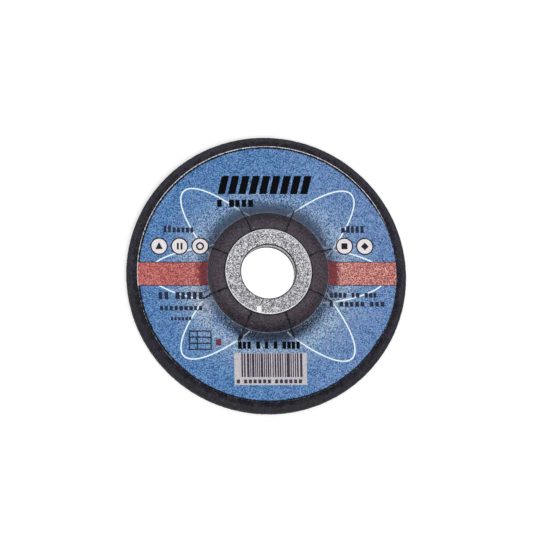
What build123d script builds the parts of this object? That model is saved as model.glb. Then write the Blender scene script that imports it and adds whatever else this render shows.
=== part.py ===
from build123d import *
from math import atan2, degrees, radians, tan
import os

# Depressed-centre grinding disc lying flat, label up, as it rests on a table.
# Z is the axis of the bore, and Z = 0 is the flat ring that grinds and that the disc lies on.
# The object has three pieces: the bonded body, the paper label glued on it and the steel ring of the bore.
# All sizes are in millimetres.

# Bonded body
disc_diameter = 115.0
disc_thickness = 6.0
hub_rise = 4.6
hub_thickness = 6.0
hub_top_diameter = 45.2
slope_run = 5.3
shoulder_round = 3.0
foot_round = 4.0
rim_bevel_width = 2.2
rim_bevel_drop = 1.8
rim_bevel_round = 1.0
rim_edge_round = 0.8

# Recess for the clamp nut, under the hub
recess_diameter = 43.0
recess_slope_run = 4.0
recess_corner_round = 1.5
recess_mouth_round = 2.0

# Steel ring of the bore
bore_diameter = 22.23
ring_sheet = 0.6
flange_diameter = 35.4
flange_edge_round = 0.3
ring_bend_round = 0.2
collar_gap = 0.05
collar_setback = 0.4

# Paper label
label_thickness = 0.2
label_margin = 4.1
label_hole_gap = 0.3
slit_count = 8
slit_width = 0.4
slit_reach_past_foot = 1.0
first_slit_angle = 21.3
torn_slit = 5
tear_length = 2.8
tear_width = 1.4

# Heights that follow from the sizes above
hub_top_z = disc_thickness + hub_rise
recess_ceiling_z = hub_top_z - hub_thickness
flange_seat_z = hub_top_z + label_thickness
flange_top_z = flange_seat_z + ring_sheet
collar_end_z = recess_ceiling_z + collar_setback

# Radii that follow from the sizes above
rim_radius = disc_diameter / 2
hub_top_radius = hub_top_diameter / 2
foot_radius = hub_top_radius + slope_run
bore_radius = bore_diameter / 2
collar_radius = bore_radius + ring_sheet
body_bore_radius = collar_radius + collar_gap
recess_radius = recess_diameter / 2
recess_mouth_radius = recess_radius + recess_slope_run
flange_radius = flange_diameter / 2
label_radius = rim_radius - label_margin
label_hole_radius = collar_radius + ring_bend_round + label_hole_gap
slit_end_radius = foot_radius + slit_reach_past_foot
slope_angle = degrees(atan2(hub_rise, slope_run))

# Direction that follows from the sizes above
torn_slit_angle = first_slit_angle + torn_slit * 360 / slit_count

os.makedirs("parts", exist_ok=True)


def top_corners(inner_radius, outer_radius, lift):
    """Corners of the disc's top, from near the bore outwards, lifted square to the surface."""
    corner_shift = lift * tan(radians(slope_angle / 2))
    return [
        (inner_radius, hub_top_z + lift),
        (hub_top_radius + corner_shift, hub_top_z + lift),
        (foot_radius + corner_shift, disc_thickness + lift),
        (outer_radius, disc_thickness + lift),
    ]


def top_rounds(lift):
    """Radii of the hub's shoulder and of its foot on the lifted surface."""
    return [shoulder_round + lift, foot_round - lift]


# Bonded body: one moulded solid of even section, turned about the axis of the bore
with BuildPart() as abrasive_body:
    with BuildSketch(Plane.XZ):
        with BuildLine():
            FilletPolyline(
                (body_bore_radius, recess_ceiling_z),
                *top_corners(body_bore_radius, rim_radius - rim_bevel_width, 0.0),
                (rim_radius, disc_thickness - rim_bevel_drop),
                (rim_radius, 0.0),
                (recess_mouth_radius, 0.0),
                (recess_radius, recess_ceiling_z),
                radius=[
                    0.0,
                    ring_bend_round + collar_gap,
                    *top_rounds(0.0),
                    rim_bevel_round,
                    rim_bevel_round,
                    rim_edge_round,
                    recess_mouth_round,
                    recess_corner_round,
                ],
                close=True,
            )
        make_face()
    revolve(axis=Axis.Z)

# Paper label: a thin sheet that follows the top of the body, slit round the hub.
# One slit is torn wider at its outer end.
with BuildPart() as label:
    with BuildSketch(Plane.XZ):
        with BuildLine():
            glued_side = FilletPolyline(
                *top_corners(label_hole_radius, label_radius, 0.0),
                radius=top_rounds(0.0),
            )
            printed_side = FilletPolyline(
                *top_corners(label_hole_radius, label_radius, label_thickness),
                radius=top_rounds(label_thickness),
            )
            Line(glued_side @ 0, printed_side @ 0)
            Line(glued_side @ 1, printed_side @ 1)
        make_face()
    revolve(axis=Axis.Z)
    with BuildSketch(Plane.XY.offset(disc_thickness)):
        with PolarLocations(slit_end_radius / 2, slit_count, start_angle=first_slit_angle):
            Rectangle(slit_end_radius, slit_width)
        with PolarLocations(slit_end_radius, 1, start_angle=torn_slit_angle):
            SlotOverall(tear_length, tear_width)
    extrude(amount=hub_rise + 2 * label_thickness, mode=Mode.SUBTRACT)

# Steel ring: a flat flange on the label, bent down into a collar that lines the bore
with BuildPart() as bore_ring:
    with BuildSketch(Plane.XZ):
        with BuildLine():
            FilletPolyline(
                (bore_radius, collar_end_z),
                (bore_radius, flange_top_z),
                (flange_radius, flange_top_z),
                (flange_radius, flange_seat_z),
                (collar_radius, flange_seat_z),
                (collar_radius, collar_end_z),
                radius=[
                    0.0,
                    ring_bend_round + ring_sheet,
                    flange_edge_round,
                    0.0,
                    ring_bend_round,
                    0.0,
                ],
                close=True,
            )
        make_face()
    revolve(axis=Axis.Z)

abrasive_body.part.label = "abrasive_body"
label.part.label = "label"
bore_ring.part.label = "bore_ring"

for piece in (abrasive_body, label, bore_ring):
    export_step(piece.part, f"parts/{piece.part.label}.step")
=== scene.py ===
"""Looks of a depressed-centre grinding disc that lies flat with its label up.

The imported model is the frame. Sizes are in millimetres in that frame, and become metres where a mesh,
a texture or a lamp is made. Angles are in degrees, counted from +X towards +Y.
"""

import logging
import math
from dataclasses import dataclass, field
from enum import Enum
from typing import Sequence

import bpy
import numpy as np
from mathutils import Matrix, Vector


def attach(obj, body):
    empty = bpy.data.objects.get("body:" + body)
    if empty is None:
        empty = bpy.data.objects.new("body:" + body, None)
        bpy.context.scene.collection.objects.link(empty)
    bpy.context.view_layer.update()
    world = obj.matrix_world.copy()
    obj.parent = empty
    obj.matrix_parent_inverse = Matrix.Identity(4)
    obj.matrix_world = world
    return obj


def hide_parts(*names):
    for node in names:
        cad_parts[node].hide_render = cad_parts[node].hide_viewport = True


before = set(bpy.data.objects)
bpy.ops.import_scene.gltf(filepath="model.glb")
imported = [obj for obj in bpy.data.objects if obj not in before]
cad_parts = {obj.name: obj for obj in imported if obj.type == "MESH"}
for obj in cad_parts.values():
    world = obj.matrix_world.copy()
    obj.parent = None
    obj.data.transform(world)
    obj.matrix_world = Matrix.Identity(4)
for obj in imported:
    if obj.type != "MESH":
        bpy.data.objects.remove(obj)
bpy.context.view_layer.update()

MM = 0.001
SHARP_ANGLE = math.radians(40)
ROOT = "root"
LOG = logging.getLogger("grinding_disc")

Colour = tuple[float, float, float, float]
Point = tuple[float, float]
Points = tuple[Point, ...]
Span = tuple[float, ...]

WHITE: Colour = (1.0, 1.0, 1.0, 1.0)


class Slot(Enum):
    """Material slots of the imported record."""

    GRIT = "bonded_grit"
    PAPER = "label_paper"
    STEEL = "ring_steel"


def colour(*screen: float) -> Colour:
    """Turns a colour as seen on a screen into the linear one that a shader takes.

    Args:
        *screen: Its red, green and blue, 0 to 255.

    Returns:
        The linear colour with alpha 1.
    """
    parts = np.array(screen) / 255
    linear = np.where(parts <= 0.04045, parts / 12.92, ((parts + 0.055) / 1.055) ** 2.4)
    return (*linear.tolist(), 1.0)


def smooth_step(low: float, high: float, value: np.ndarray) -> np.ndarray:
    """Rises smoothly from 0 where the value is low to 1 where it is high."""
    part = np.clip((value - low) / (high - low), 0, 1)
    return part * part * (3 - 2 * part)


class LatticeNoise:
    """Seeded noise from 0 to 1 that is smooth between the points of a lattice."""

    SIZE = 48

    def __init__(self, seed: int) -> None:
        """Draws the lattice from a seed."""
        self.table = np.random.default_rng(seed).random((self.SIZE,) * 3)

    def at(self, points: np.ndarray, grain: float) -> np.ndarray:
        """Reads the noise.

        Args:
            points: Places, with x, y and z last.
            grain: Distance between lattice points.

        Returns:
            One value for each place.
        """
        base = np.floor(points / grain).astype(int)
        part = smooth_step(0.0, 1.0, points / grain - base)
        total = np.zeros(points.shape[:-1])
        for corner in np.ndindex(2, 2, 2):
            weight = np.prod(np.where(corner, part, 1 - part), axis=-1)
            x, y, z = np.moveaxis((base + corner) % self.SIZE, -1, 0)
            total += weight * self.table[x, y, z]
        return total


def pairs(numbers: Sequence[complex]) -> np.ndarray:
    """Splits complex numbers into pairs of plain ones."""
    return np.stack((np.real(numbers), np.imag(numbers)), axis=-1)


def left_of(line: np.ndarray, closed: bool = False) -> np.ndarray:
    """Gives the directions on the left of a line.

    Args:
        line: Its points, two numbers each.
        closed: Whether the last point joins the first.

    Returns:
        A unit direction for each point.
    """
    along = np.roll(line, -1, axis=0) - np.roll(line, 1, axis=0) if closed else np.gradient(line, axis=0)
    along /= np.linalg.norm(along, axis=1)[:, None]
    return np.stack((-along[:, 1], along[:, 0]), axis=1)


def spun(points: np.ndarray, turns: np.ndarray) -> np.ndarray:
    """Turns pairs of radius and height about the axis, by angles in radians."""
    radius, height, turns = np.broadcast_arrays(points[..., 0], points[..., 1], turns)
    return np.stack((radius * np.cos(turns), radius * np.sin(turns), height), axis=-1)


def grid_index(rows: int, columns: int) -> np.ndarray:
    """Numbers the vertices of a grid, row by row."""
    return np.arange(rows * columns).reshape(rows, columns)


def grid_quads(index: np.ndarray) -> np.ndarray:
    """Makes quads that face up where the rows of a grid run outwards and its columns counter-clockwise."""
    corners = (index[:-1, :-1], index[1:, :-1], index[1:, 1:], index[:-1, 1:])
    return np.stack(corners, axis=-1).reshape(-1, 4)


def slab_quads(top: np.ndarray, step: int, edges: Sequence[np.ndarray]) -> np.ndarray:
    """Makes the quads of a sheet of even thickness.

    Args:
        top: Vertex numbers of its top, rows and columns.
        step: Step from a vertex of the top to the one under it.
        edges: Runs of the top's vertices that get a wall, with the sheet on their right.

    Returns:
        The quads of its top, bottom and walls.
    """
    sides = (grid_quads(top), grid_quads(top[::-1] + step))
    walls = [grid_quads(np.stack((edge + step, edge))) for edge in edges]
    return np.concatenate((*sides, *walls))


@dataclass(frozen=True)
class Corner:
    """A corner of a turned profile, with its rounding and the point spacing of the run after it."""

    radius: float
    height: float
    rounding: float = 0.0
    spacing: float = 1.0

    @property
    def place(self) -> complex:
        """Radius and height as one complex number."""
        return complex(self.radius, self.height)


class TurnedProfile:
    """Outline of a turned piece in the half plane of radius and height."""

    def __init__(self, corners: Sequence[Corner], closed: bool) -> None:
        """Samples the outline.

        Args:
            corners: Corners in order, with the solid on the right of the way they run.
            closed: Whether the outline returns to its first corner.
        """
        self.corners, self.closed = list(corners), closed
        self.points = self._sample()
        self.outward = left_of(self.points, closed)

    def _bend(self, index: int) -> list[complex]:
        """Gives the points of one corner.

        Args:
            index: Which corner.

        Returns:
            The points of its arc, or the corner itself where it is sharp or an open end.
        """
        before, corner, after = (self.corners[(index + shift) % len(self.corners)] for shift in (-1, 0, 1))
        open_end = not self.closed and index in (0, len(self.corners) - 1)
        if corner.rounding == 0 or open_end:
            return [corner.place]
        way_in, way_out = corner.place - before.place, after.place - corner.place
        turn = float(np.angle(way_out / way_in))
        way_in /= abs(way_in)
        start = corner.place - way_in * corner.rounding * math.tan(abs(turn) / 2)
        centre = start + 1j * way_in * math.copysign(corner.rounding, turn)
        steps = max(3, math.ceil(corner.rounding * abs(turn) / corner.spacing))
        return list(centre + (start - centre) * np.exp(1j * np.linspace(0, turn, steps + 1)))

    def _sample(self) -> np.ndarray:
        """Samples the outline, runs and arcs.

        Returns:
            Radius and height of each point in order.
        """
        bends = [self._bend(index) for index in range(len(self.corners))]
        found = bends[0]
        following = bends[1:] + [bends[0][:1]] * self.closed
        for corner, bend in zip(self.corners, following):
            steps = max(1, math.ceil(abs(bend[0] - found[-1]) / corner.spacing))
            run = np.linspace(found[-1], bend[0], steps, endpoint=False)
            found = [*found, *run[1:], *bend]
        return pairs(found[:-1] if self.closed else found)

    def turned(self, columns: int) -> tuple[np.ndarray, np.ndarray, np.ndarray]:
        """Turns the closed outline about the axis.

        Args:
            columns: Steps of the whole turn.

        Returns:
            Places, outward directions and quads.
        """
        turns = np.linspace(0, 2 * math.pi, columns, endpoint=False)
        index = np.pad(grid_index(len(self.points), columns), ((0, 1), (0, 1)), mode="wrap")
        return spun(self.points[:, None], turns), spun(self.outward[:, None], turns), grid_quads(index)


def make_piece(
    name: str, places: np.ndarray, quads: np.ndarray, material: bpy.types.Material
) -> bpy.types.Object:
    """Makes one piece of the disc and lets it ride on the body.

    Args:
        name: Name of the piece.
        places: Vertices in millimetres.
        quads: Vertex numbers of each face.
        material: Its material.

    Returns:
        The piece.
    """
    mesh = bpy.data.meshes.new(name)
    mesh.from_pydata((places.reshape(-1, 3) * MM).tolist(), [], quads.tolist())
    mesh.validate()
    mesh.shade_smooth()
    mesh.set_sharp_from_angle(angle=SHARP_ANGLE)
    mesh.materials.append(material)
    piece = bpy.data.objects.new(name, mesh)
    bpy.context.scene.collection.objects.link(piece)
    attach(piece, ROOT)
    LOG.info("%s: %d vertices, %d faces", name, len(mesh.vertices), len(mesh.polygons))
    return piece


class Field:
    """A number or colour that changes over a surface: one output of a node, to work out others from."""

    def __init__(self, sheet: "NodeSheet", socket: bpy.types.NodeSocket) -> None:
        """Keeps the output and the sheet that it is on."""
        self.sheet, self.socket = sheet, socket

    def math(self, operation: str, *others: "Number") -> "Field":
        """Adds a Math node that takes this field first."""
        return self.sheet.math(operation, self, *others)

    def __add__(self, other: "Number") -> "Field":
        """Adds a number."""
        return self.math("ADD", other)

    def __sub__(self, other: "Number") -> "Field":
        """Takes a number away."""
        return self.math("SUBTRACT", other)

    def __rsub__(self, other: float) -> "Field":
        """Takes this field away from a number."""
        return self.sheet.math("SUBTRACT", other, self)

    def __mul__(self, other: "Number") -> "Field":
        """Multiplies by a number."""
        return self.math("MULTIPLY", other)

    def __truediv__(self, other: "Number") -> "Field":
        """Divides by a number."""
        return self.math("DIVIDE", other)

    def __rtruediv__(self, other: float) -> "Field":
        """Divides a number by this field."""
        return self.sheet.math("DIVIDE", other, self)

    def __abs__(self) -> "Field":
        """Drops the sign."""
        return self.math("ABSOLUTE")

    def under(self, level: "Number") -> "Field":
        """Gives 1 where this field is under a level, and 0 elsewhere."""
        return self.math("LESS_THAN", level)

    def most(self, other: "Number") -> "Field":
        """Gives the larger of this field and a number."""
        return self.math("MAXIMUM", other)

    def fade(self, low: "Number", high: "Number", start: "Number" = 0.0, end: "Number" = 1.0) -> "Field":
        """Goes smoothly from start, where this field is at low, to end, where it is at high."""
        inputs = dict(enumerate((self, low, high, start, end)))
        return self.sheet.add("MapRange", inputs, interpolation_type="SMOOTHSTEP")[0]

    def ramp(self, stops: Points) -> "Field":
        """Draws a curve of straight runs over this field.

        Args:
            stops: Places along it and their values, in order.

        Returns:
            The curve's value.
        """
        low, high = stops[0][0], stops[-1][0]
        place = self.sheet.add("MapRange", {0: self, 1: low, 2: high})[0]
        curve = self.sheet.add("ValToRGB", {0: place})[0]
        elements = curve.socket.node.color_ramp.elements
        while len(elements) < len(stops):
            elements.new(1.0)
        for element, (at, level) in zip(elements, stops):
            element.position = (at - low) / (high - low)
            element.color = (level, level, level, 1.0)
        return curve

    def pick(self, first: object, second: object) -> "Field":
        """Mixes two colours, with this field as the share of the second."""
        return self.sheet.add("Mix", {0: self, 6: first, 7: second}, data_type="RGBA")[2]

    def tinted(self, tint: object, share: "Number" = 1.0) -> "Field":
        """Multiplies this colour by a tint, by a share."""
        inputs = {0: share, 6: self, 7: tint}
        return self.sheet.add("Mix", inputs, data_type="RGBA", blend_type="MULTIPLY")[2]


Number = Field | float
Fields = dict[str | int, Field]


class NodeSheet:
    """Adds nodes to one tree and links them."""

    def __init__(self, tree: bpy.types.NodeTree) -> None:
        """Keeps the tree that the nodes go into."""
        self.tree = tree

    def add(self, kind: str, inputs: dict[str | int, object] | None = None, **settings: object) -> Fields:
        """Adds one node.

        Args:
            kind: Its type name without the leading ShaderNode.
            inputs: Values or fields for its inputs, by name or number.
            **settings: Properties of the node.

        Returns:
            Its outputs, by number and by name.
        """
        node = self.tree.nodes.new("ShaderNode" + kind)
        for key, value in settings.items():
            setattr(node, key, value)
        for key, value in (inputs or {}).items():
            self.feed(node.inputs[key], value)
        outputs = [Field(self, socket) for socket in node.outputs]
        return {**dict(enumerate(outputs)), **{output.socket.name: output for output in outputs}}

    def feed(self, target: bpy.types.NodeSocket, value: object) -> None:
        """Links a field to an input, or sets the input's value.

        Args:
            target: The input.
            value: A field or a plain value.
        """
        if isinstance(value, Field):
            self.tree.links.new(value.socket, target)
        else:
            target.default_value = value

    def math(self, operation: str, *numbers: Number) -> Field:
        """Adds a Math node that takes the numbers in order."""
        return self.add("Math", dict(enumerate(numbers)), operation=operation)[0]

    def group(self, tree: bpy.types.NodeTree, **inputs: object) -> Fields:
        """Places a node group, with underscores for the blanks in the names of its inputs."""
        named = {key.replace("_", " "): value for key, value in inputs.items()}
        return self.add("Group", named, node_tree=tree)

    def here(self) -> Field:
        """Gives the place on the object, in metres."""
        return self.add("TexCoord")["Object"]


class GroupSheet(NodeSheet):
    """The sheet of a shader node group."""

    def __init__(self, name: str, inputs: dict[str, object], outputs: Sequence[str]) -> None:
        """Starts the group.

        Args:
            name: Name of the group.
            inputs: Names of its inputs with their default values.
            outputs: Names of its outputs, of which one named Color is a colour and the rest are numbers.
        """
        super().__init__(bpy.data.node_groups.new(name, "ShaderNodeTree"))
        kinds = {True: "NodeSocketColor", False: "NodeSocketFloat"}
        sockets = self.tree.interface
        for key, value in inputs.items():
            kind = kinds[isinstance(value, tuple)]
            sockets.new_socket(name=key, in_out="INPUT", socket_type=kind).default_value = value
        for key in outputs:
            sockets.new_socket(name=key, in_out="OUTPUT", socket_type=kinds[key == "Color"])
        entry = self.tree.nodes.new("NodeGroupInput")
        self.entry = {socket.name: Field(self, socket) for socket in entry.outputs}
        self.leave = self.tree.nodes.new("NodeGroupOutput")

    def give(self, **outputs: Field) -> bpy.types.NodeTree:
        """Feeds the group's outputs, by name.

        Args:
            **outputs: What each puts out.

        Returns:
            The finished group.
        """
        for key, value in outputs.items():
            self.feed(self.leave.inputs[key], value)
        return self.tree

    def cells(self, size: str) -> tuple[dict[str, Field], Field, Field, Field]:
        """Scatters cells over the object, shifted by the group's input Seed.

        Args:
            size: Name of the group's input that holds a cell's size.

        Returns:
            Place and scale for a texture of the same size, the distance from a cell's middle and two
            random values for each cell.
        """
        moved = self.add("VectorMath", {0: self.here(), 1: self.entry["Seed"]}, operation="ADD")[0]
        place = {"Vector": moved, "Scale": (1 / MM) / self.entry[size]}
        cells = self.add("TexVoronoi", place, feature="F1")
        split = self.add("SeparateColor", {0: cells["Color"]})
        return place, cells["Distance"], split[0], split[1]


@dataclass(frozen=True)
class SlitPlan:
    """Where the label is slit round the hub, and which slit is torn open at its outer end."""

    count: int = 8
    first: float = 21.3
    end: float = 28.9
    half_width: float = 0.13
    torn: int = 5
    tear_start: float = 27.2
    tear_end: float = 30.3
    tear_half_width: float = 0.72

    @property
    def step(self) -> float:
        """Turn from one slit to the next, in radians."""
        return 2 * math.pi / self.count

    def turn(self, slit: int) -> float:
        """Gives the turn at which a slit stands, in radians."""
        return math.radians(self.first) + slit * self.step

    def is_torn(self, slit: int) -> bool:
        """Says whether a slit is the torn one."""
        return slit % self.count == self.torn

    def reach(self, slit: int) -> float:
        """Gives the radius where a slit ends."""
        return self.tear_end if self.is_torn(slit) else self.end


class SharedEffects:
    """Effects that several materials use, each built once as a node group."""

    PLACES = ("Radius", "X", "Y", "Height", "North", "East")
    PALE_INK = colour(214, 236, 250)
    FLECK = colour(232, 228, 226)
    GREEN_TINGE = (0.8, 1.05, 0.96, 1.0)
    RED_TINGE = (1.14, 0.95, 1.03, 1.0)
    DEEP_TINGE = (0.2, 0.24, 0.34, 1.0)

    def __init__(self, slits: SlitPlan) -> None:
        """Builds the groups.

        Args:
            slits: Where the label is slit.
        """
        self.disc_place = self._disc_place()
        self.grain = self._grain()
        self.flecks = self._flecks()
        self.print_tone = self._print_tone()
        self.slit_dirt = self._slit_shade(slits)

    def _disc_place(self) -> bpy.types.NodeTree:
        """Builds the group that says where on the disc a point is.

        Returns:
            The group, which gives the radius, x, y and height in millimetres and how far north and east
            the point is.
        """
        sheet = GroupSheet("disc_place", {}, self.PLACES)
        scaled = sheet.add("VectorMath", {0: sheet.here(), "Scale": 1 / MM}, operation="SCALE")[0]
        parts = sheet.add("SeparateXYZ", {0: scaled})
        x, y = parts["X"], parts["Y"]
        radius = (x * x + y * y).math("SQRT")
        return sheet.give(Radius=radius, X=x, Y=y, Height=parts["Z"], North=y / radius, East=x / radius)

    def _grain(self) -> bpy.types.NodeTree:
        """Builds the group for grains in a bond.

        Returns:
            The group, which gives a mottled tone, the relief of the grains and a random value for each grain.
        """
        sheet = GroupSheet("bond_grain", {"Grain Size": 0.5, "Seed": 0.0}, ("Tone", "Relief", "Each"))
        place, distance, shade, each = sheet.cells("Grain Size")
        noise = sheet.add("TexNoise", {**place, "Detail": 2.5, "Roughness": 0.62})[0]
        spread = noise.fade(0.30, 0.70)
        tone = spread * 0.6 + shade * 0.4
        return sheet.give(Tone=tone, Relief=(1.0 - distance) * 0.6 + spread * 0.4, Each=each)

    def _flecks(self) -> bpy.types.NodeTree:
        """Builds the group for stray flecks.

        Returns:
            The group, which gives a mask of small round flecks in a share of its cells.
        """
        inputs = {"Spacing": 2.0, "Share": 0.3, "Size": 0.15, "Seed": 0.0}
        sheet = GroupSheet("stray_flecks", inputs, ("Mask",))
        _, distance, chance, _ = sheet.cells("Spacing")
        return sheet.give(Mask=distance.under(sheet.entry["Size"]) * chance.under(sheet.entry["Share"]))

    def _print_tone(self) -> bpy.types.NodeTree:
        """Builds the group that lets the grit show through a printed colour.

        Returns:
            The group, which gives the mottled colour and the relief of the paper over the grit.
        """
        inputs = {
            "Print Color": (0.5, 0.5, 0.5, 1.0),
            "Pale Color": self.PALE_INK,
            "Pale Mix": 0.28,
            "Dark Grain": 0.5,
            "Pale Grain": 0.3,
            "Fleck Share": 0.1,
            "Grain Size": 0.42,
            "Hue Spread": 1.0,
        }
        sheet = GroupSheet("print_over_grit", inputs, ("Color", "Relief"))
        entry = sheet.entry
        tinge = sheet.group(self.grain, Grain_Size=1.6, Seed=6.1)["Tone"]
        coarse = sheet.group(self.grain, Grain_Size=2.4, Seed=3.1)["Tone"]
        fine = sheet.group(self.grain, Grain_Size=entry["Grain Size"], Seed=0.0)
        tone = fine["Tone"] * 0.9 + coarse * 0.1
        hue = tinge.fade(0.3, 0.7).pick(self.GREEN_TINGE, self.RED_TINGE)
        base = entry["Print Color"].tinted(hue, entry["Hue Spread"])
        dark = tone.fade(0.5, 0.26) * entry["Dark Grain"]
        pale = tone.fade(0.5, 0.76) * entry["Pale Grain"]
        shaded = dark.pick(base, base.tinted(self.DEEP_TINGE))
        lit = pale.pick(shaded, entry["Pale Mix"].pick(base, entry["Pale Color"]))
        flecks = sheet.group(self.flecks, Spacing=0.8, Share=entry["Fleck Share"], Size=0.23, Seed=1.7)
        return sheet.give(Color=(flecks["Mask"] * 0.6).pick(lit, self.FLECK), Relief=fine["Relief"])

    def _slit_shade(self, slits: SlitPlan) -> bpy.types.NodeTree:
        """Builds the group for the painted shade along the slits and in the torn end.

        Args:
            slits: Where the label is slit.

        Returns:
            The group, which gives the mask of the painted shade and the noise that breaks it up.
        """
        sheet = GroupSheet("slit_dirt", {}, ("Mask", "Wobble"))
        place = sheet.group(self.disc_place)
        radius, x, y = place["Radius"], place["X"], place["Y"]
        wobble = sheet.group(self.grain, Grain_Size=0.8, Seed=5.5)["Tone"]
        # Painted shade along the slits, wider to the south, and in the opening of the torn slit.
        part = (y.math("ARCTAN2", x) - slits.turn(0)) / slits.step + 0.5
        distance = abs(part.math("FRACT") - 0.5) * slits.step * radius
        spill = place["North"].fade(0.4, 0.9, 0.5, 0.32)
        ragged = distance - wobble.fade(0.3, 0.7, 0.0, spill)
        painted_shade = ragged.fade(0.2, 0.02) * radius.fade(slits.end + 0.4, slits.end - 0.3)
        torn = slits.turn(slits.torn)
        along = x * math.cos(torn) + y * math.sin(torn)
        across = y * math.cos(torn) - x * math.sin(torn)
        beside = (abs(across) - wobble * 0.4).fade(slits.tear_half_width, slits.tear_half_width - 0.2)
        past_start = along.fade(slits.tear_start, slits.tear_start + 0.6)
        before_end = along.fade(slits.tear_end + 0.3, slits.tear_end)
        return sheet.give(Mask=painted_shade.most(beside * past_start * before_end), Wobble=wobble)


class MaterialSheet(NodeSheet):
    """The sheet of a material."""

    def __init__(self, name: str) -> None:
        """Starts the material, with a Principled shader.

        Args:
            name: Name of the material.
        """
        self.material = bpy.data.materials.new(name)
        self.material.use_nodes = True
        super().__init__(self.material.node_tree)

    def dress(self, **values: object) -> bpy.types.Material:
        """Feeds the shader.

        Args:
            **values: What goes into its inputs, with underscores for the blanks in their names.

        Returns:
            The material.
        """
        shader = self.tree.nodes["Principled BSDF"]
        for key, value in values.items():
            self.feed(shader.inputs[key.replace("_", " ")], value)
        return self.material


class Skin(MaterialSheet):
    """The sheet of a material of the disc, which knows where on the disc a point is."""

    def __init__(self, name: str, effects: SharedEffects) -> None:
        """Starts the material.

        Args:
            name: Name of the material.
            effects: The shared node groups.
        """
        super().__init__(name)
        self.effects = effects
        place = self.group(effects.disc_place)
        places = (place[key] for key in effects.PLACES)
        self.radius, self.x, self.y, self.height, self.north, self.east = places

    def toward(self, way: Point) -> Field:
        """Says how well the direction of a point agrees with a way, given by its parts east and north."""
        return self.east * way[0] + self.north * way[1]

    def grain(self, size: float, seed: float) -> Fields:
        """Places grains of a size in millimetres, shifted by a seed."""
        return self.group(self.effects.grain, Grain_Size=size, Seed=seed)

    def relief(self, height: Field, strength: float, depth: float) -> Field:
        """Turns a height into a normal, by a strength and a depth in millimetres."""
        return self.add("Bump", {"Height": height, "Strength": strength, "Distance": depth * MM})[0]


@dataclass(frozen=True)
class InkFinish:
    """A printed ink on the label's paper."""

    name: str
    tint: Colour
    east_tint: Colour | None = None
    dark_grain: float = 0.5
    pale_grain: float = 0.3
    fleck_share: float = 0.0
    hub_flecks: float = 0.0
    pale_mix: float = 0.28
    east_pale_mix: float = 0.28
    pale_tint: Colour = SharedEffects.PALE_INK
    hue_spread: float = 0.0
    slit_shaded: bool = False
    slit_shade_tint: Colour = colour(12, 11, 15)
    roughness: float = 0.62
    gloss: float = 0.16
    shade_tint: Colour = colour(40, 34, 46)
    shade_radius: float = 28.0
    shade_width: float = 4.0
    shade_skew: float = 0.0
    shade_depth: float = 0.0
    east_fade: Span = (-20.0, 20.0)
    hub_reach: Span = (28.2, 29.0, 31.5, 36.0)

    def material(self, effects: SharedEffects) -> bpy.types.Material:
        """Builds the material.

        Args:
            effects: The shared node groups.

        Returns:
            The ink's material.
        """
        skin = Skin(self.name, effects)
        # Where east_tint and east_pale_mix differ from tint and pale_mix, they paint light over the
        # right-hand side.
        east = skin.x.fade(*self.east_fade)
        ragged = skin.grain(0.9, 4.4)["Tone"] * 1.6 + skin.radius - east * self.shade_skew
        near = ragged.fade(self.shade_radius, self.shade_radius - self.shade_width, 0.0, self.shade_depth)
        plain = east.pick(self.tint, self.east_tint or self.tint)
        fleck_shares = (0.0, self.hub_flecks, self.hub_flecks, self.fleck_share)
        tone = skin.group(
            effects.print_tone,
            Print_Color=near.pick(plain, self.shade_tint),
            Pale_Color=self.pale_tint,
            Pale_Mix=east * (self.east_pale_mix - self.pale_mix) + self.pale_mix,
            Dark_Grain=self.dark_grain,
            Pale_Grain=(1.0 - near) * self.pale_grain,
            Fleck_Share=skin.radius.ramp(tuple(zip(self.hub_reach, fleck_shares))),
            Hue_Spread=self.hue_spread,
        )
        base = tone["Color"]
        # Painted shade where the ink crosses the slits.
        if self.slit_shaded:
            base = skin.group(effects.slit_dirt)["Mask"].pick(base, self.slit_shade_tint)
        return skin.dress(
            Base_Color=base,
            Normal=skin.relief(tone["Relief"], 0.35, 0.06),
            Roughness=self.roughness,
            Specular_IOR_Level=self.gloss,
        )


@dataclass(frozen=True)
class HubShape:
    """Shape of the disc's top: the raised hub, its slope and the flat ring round it."""

    top_height: float = 10.6
    plain_height: float = 6.0
    top_radius: float = 22.6
    foot_radius: float = 27.9
    shoulder_round: float = 3.0
    foot_round: float = 4.0

    def corners(self, inner: Corner, outer: float, lift: float, spacings: Point) -> list[Corner]:
        """Gives the corners of the top, lifted square to the surface.

        Args:
            inner: The corner where the surface starts.
            outer: Radius where it ends.
            lift: How far it is lifted.
            spacings: Point spacing of the slope and of the flat ring.

        Returns:
            The corners from the bore outwards.
        """
        fall = self.top_height - self.plain_height
        shift = lift * math.tan(math.atan2(fall, self.foot_radius - self.top_radius) / 2)
        slope, ring = spacings
        return [
            inner,
            Corner(self.top_radius + shift, self.top_height + lift, self.shoulder_round + lift, slope),
            Corner(self.foot_radius + shift, self.plain_height + lift, self.foot_round - lift, ring),
            Corner(outer, self.plain_height + lift, 0.0, ring),
        ]


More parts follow.
